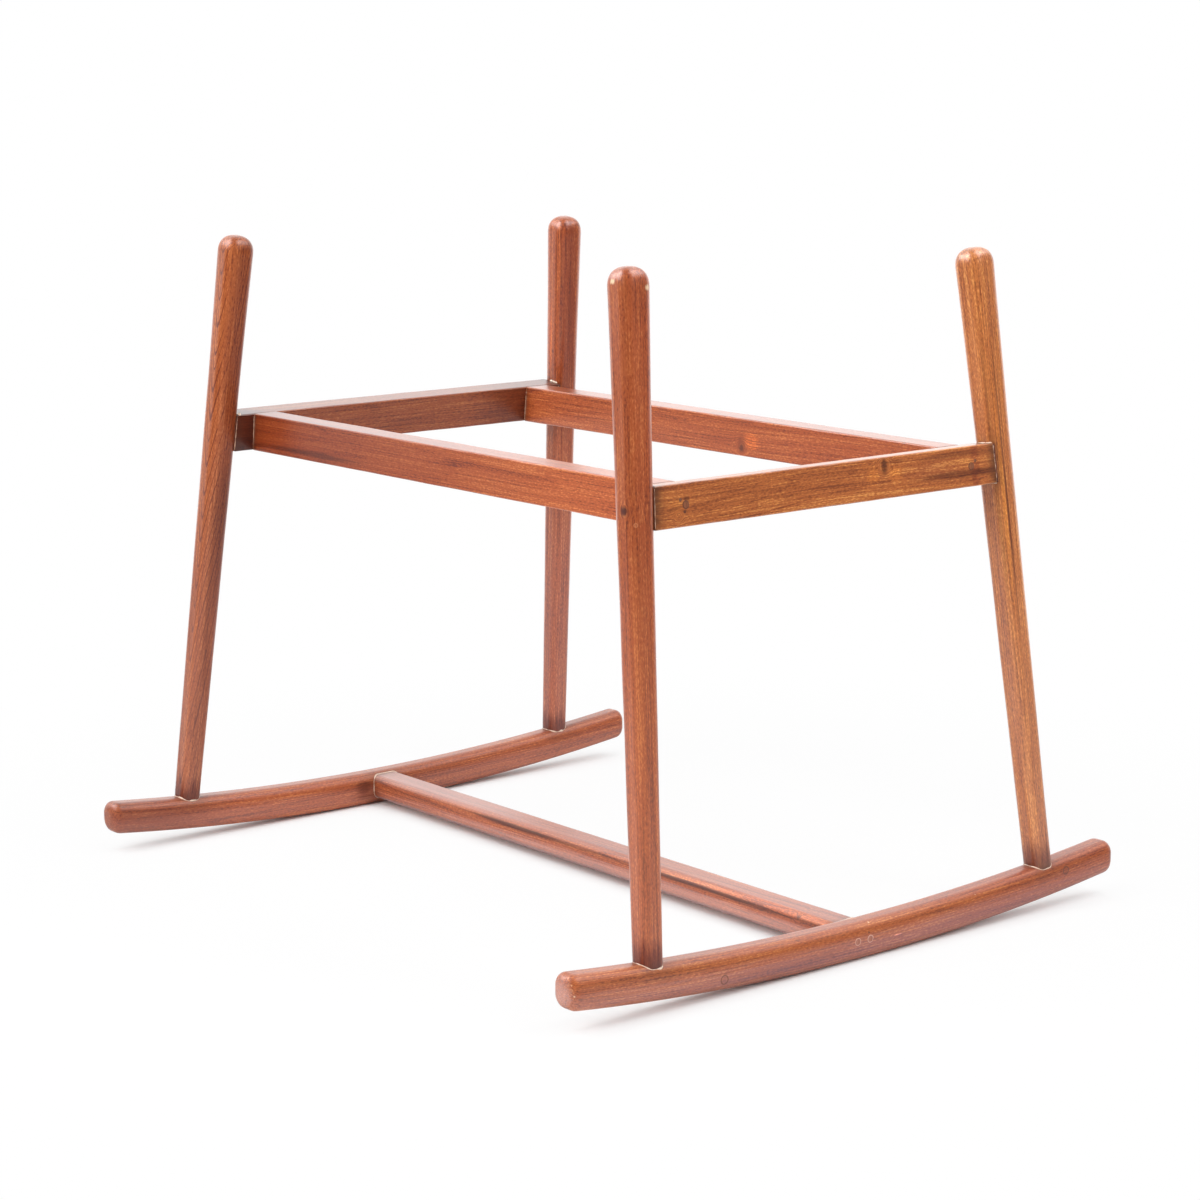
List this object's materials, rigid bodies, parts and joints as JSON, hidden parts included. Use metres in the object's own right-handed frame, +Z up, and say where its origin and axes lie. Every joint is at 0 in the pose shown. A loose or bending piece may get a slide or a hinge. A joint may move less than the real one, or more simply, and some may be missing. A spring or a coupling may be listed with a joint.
{
  "type": "rocking cradle stand",
  "caption": "Open wooden rocking stand for a baby basket: leaning posts carry a rectangular frame of rails and stand on curved rockers tied by a low stretcher.",
  "frame": {"origin": "on the floor, under the middle of the stand, where the rockers touch it", "axes": "+X along the stretcher and the long rails, towards the right end; +Y along the end rails and the rockers, towards the back; +Z up"},
  "size_m": [0.7444, 0.654, 0.6093],
  "materials": {
    "teak": "reddish brown solid wood under a satin oil varnish, fine dark pores along the grain",
    "plug_teak": "darker face-grain plugs under the same satin varnish",
    "beech": "raw pale dowel wood, hidden in the joints",
    "screw_steel": "plain zinc-coated steel, hidden under the plugs"
  },
  "bodies": {
    "root": {"post_front_left": "teak", "post_back_left": "teak", "post_front_right": "teak", "post_back_right": "teak", "end_rail_left": "teak", "end_rail_right": "teak", "long_rail_front": "teak", "long_rail_back": "teak", "rocker_left": "teak", "rocker_right": "teak", "stretcher": "teak", "foot_dowels": "beech", "rail_dowels": "beech", "rail_screws": "screw_steel", "rail_plugs": "plug_teak", "rail_brads": "screw_steel", "stretcher_screws": "screw_steel", "stretcher_plugs": "plug_teak"}
  },
  "joints": []
}
